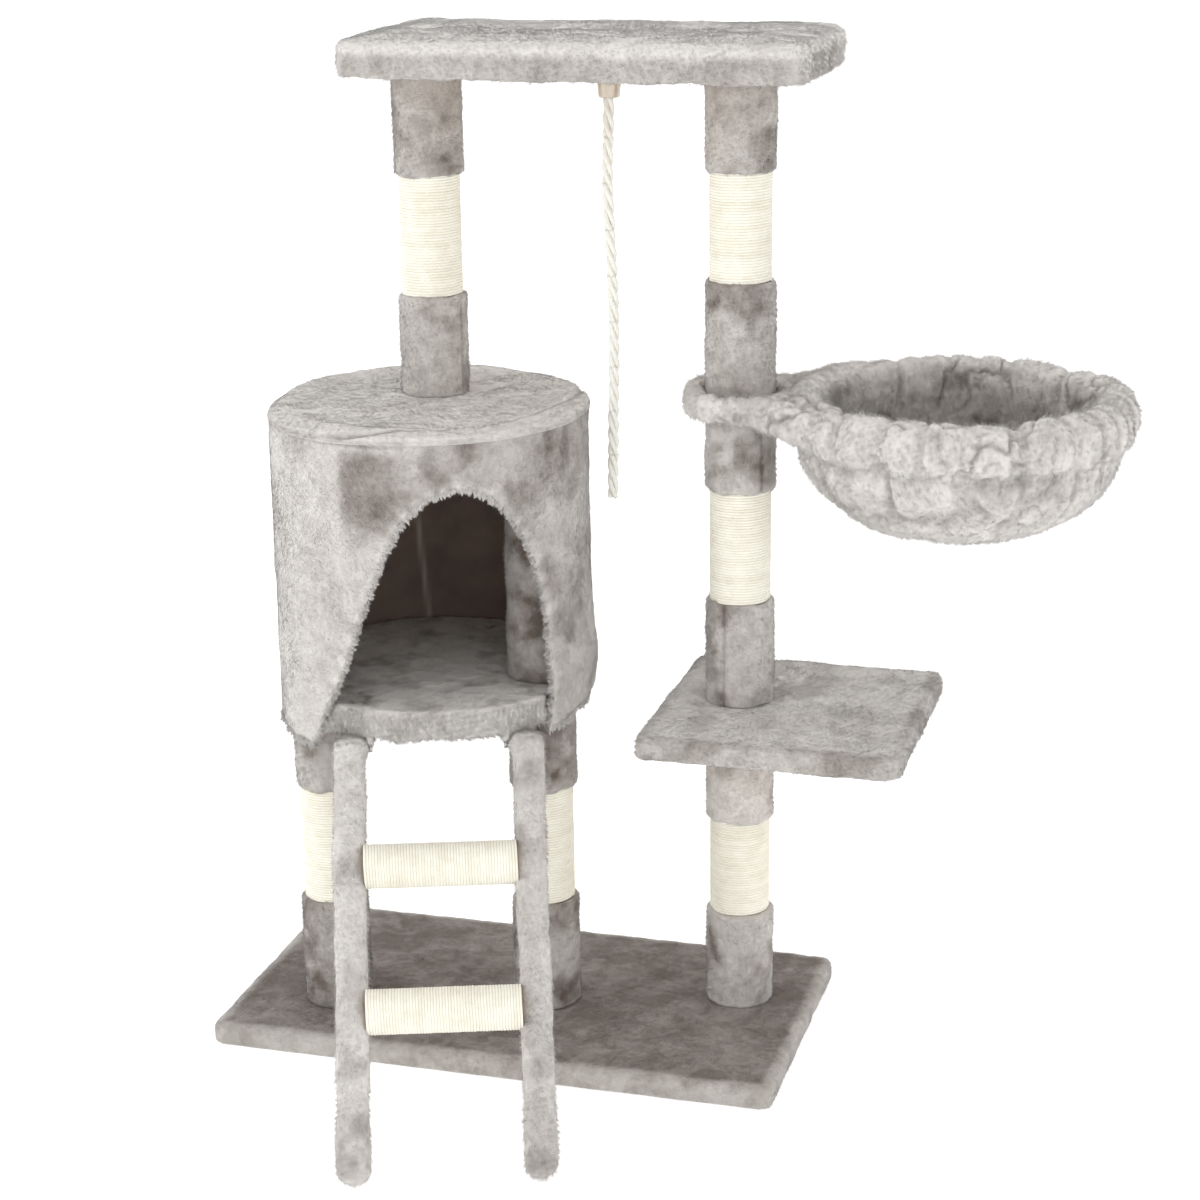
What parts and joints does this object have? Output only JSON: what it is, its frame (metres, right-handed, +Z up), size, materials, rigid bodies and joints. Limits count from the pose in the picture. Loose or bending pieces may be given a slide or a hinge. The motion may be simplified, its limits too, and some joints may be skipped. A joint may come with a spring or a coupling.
{
  "type": "cat tree",
  "caption": "Free-standing cat tree: plush-covered base, short legs under a round condo with a hinged ladder, tall post with side step and swivelling hammock, top perch and hanging rope.",
  "frame": {"origin": "middle of the base board's underside, on the floor", "axes": "+Z up, X along the base's long side with the hammock at +X, and -Y towards the ladder and the doorway"},
  "size_m": [0.911, 0.6333, 1.033],
  "materials": {
    "plush": "short brushed pile, light warm grey",
    "sisal": "tightly wound thin sisal rope, cream",
    "cotton": "twisted three-strand rope, off-white",
    "lining": "dark brown smooth lining on thin board",
    "chipboard": "raw chipboard",
    "cardboard": "spiral-wound cardboard tube with wooden end plugs",
    "steel": "zinc plated",
    "ferrule": "satin beige"
  },
  "bodies": {
    "stand": {"base_board": "chipboard", "base_cover": "plush", "left_leg_core": "cardboard", "left_leg_sleeve_low": "plush", "left_leg_sisal": "sisal", "left_leg_sleeve_high": "plush", "right_leg_core": "cardboard", "right_leg_sleeve_low": "plush", "right_leg_sisal": "sisal", "right_leg_sleeve_high": "plush", "condo_post_core": "cardboard", "condo_post_sleeve_low": "plush", "condo_post_sisal": "sisal", "condo_post_sleeve_high": "plush", "tall_post_lower_core": "cardboard", "tall_post_lower_sleeve_low": "plush", "tall_post_lower_sisal": "sisal", "tall_post_lower_sleeve_high": "plush", "tall_post_middle_core": "cardboard", "tall_post_middle_sleeve_low": "plush", "tall_post_middle_sisal": "sisal", "tall_post_middle_sleeve_high": "plush", "tall_post_upper_core": "cardboard", "tall_post_upper_sleeve_low": "plush", "tall_post_upper_sisal": "sisal", "tall_post_upper_sleeve_high": "plush", "inner_post_core": "cardboard", "inner_post_sleeve": "plush", "left_leg_bolt": "steel", "right_leg_bolt": "steel", "tall_post_bolt": "steel", "right_leg_stud": "steel", "side_step_stud": "steel", "hammock_stud": "steel", "perch_bolt_left": "steel", "perch_bolt_right": "steel", "condo_floor_board": "chipboard", "condo_floor_cover": "plush", "condo_wall_panel": "lining", "condo_wall_cover": "plush", "condo_top_board": "chipboard", "condo_top_cover": "plush", "side_step_board": "chipboard", "side_step_cover": "plush", "perch_board": "chipboard", "perch_cover": "plush", "ladder_hinge": "steel", "rope_ferrule": "ferrule"},
    "hammock": {"hammock_frame": "steel", "hammock_basket": "plush"},
    "ladder": {"ladder_rail_left_board": "chipboard", "ladder_rail_left_cover": "plush", "ladder_rail_right_board": "chipboard", "ladder_rail_right_cover": "plush", "rung_upper_core": "cardboard", "rung_upper_sisal": "sisal", "rung_lower_core": "cardboard", "rung_lower_sisal": "sisal"},
    "knot": {"rope_knot": "cotton"},
    "rope": {"rope": "cotton"}
  },
  "joints": [
    {"name": "hammock_swivel", "type": "hinge", "parent": "stand", "child": "hammock", "pos_m": [0.222, 0.043, 0.6755], "axis": [0, 0, 1], "range_deg": [-65, 65]},
    {"name": "ladder_lift", "type": "hinge", "parent": "stand", "child": "ladder", "pos_m": [-0.04744, -0.13321, 0.346], "axis": [-0.9455, -0.3256, 0], "range_deg": [0, 50]},
    {"name": "rope_swing", "type": "hinge", "parent": "stand", "child": "knot", "pos_m": [0.088, 0.048, 0.982], "axis": [-1, 0, 0], "range_deg": [-14, 14]},
    {"name": "rope_sway", "type": "hinge", "parent": "knot", "child": "rope", "pos_m": [0.088, 0.048, 0.982], "axis": [0, -1, 0], "range_deg": [-2.5, 9]}
  ]
}
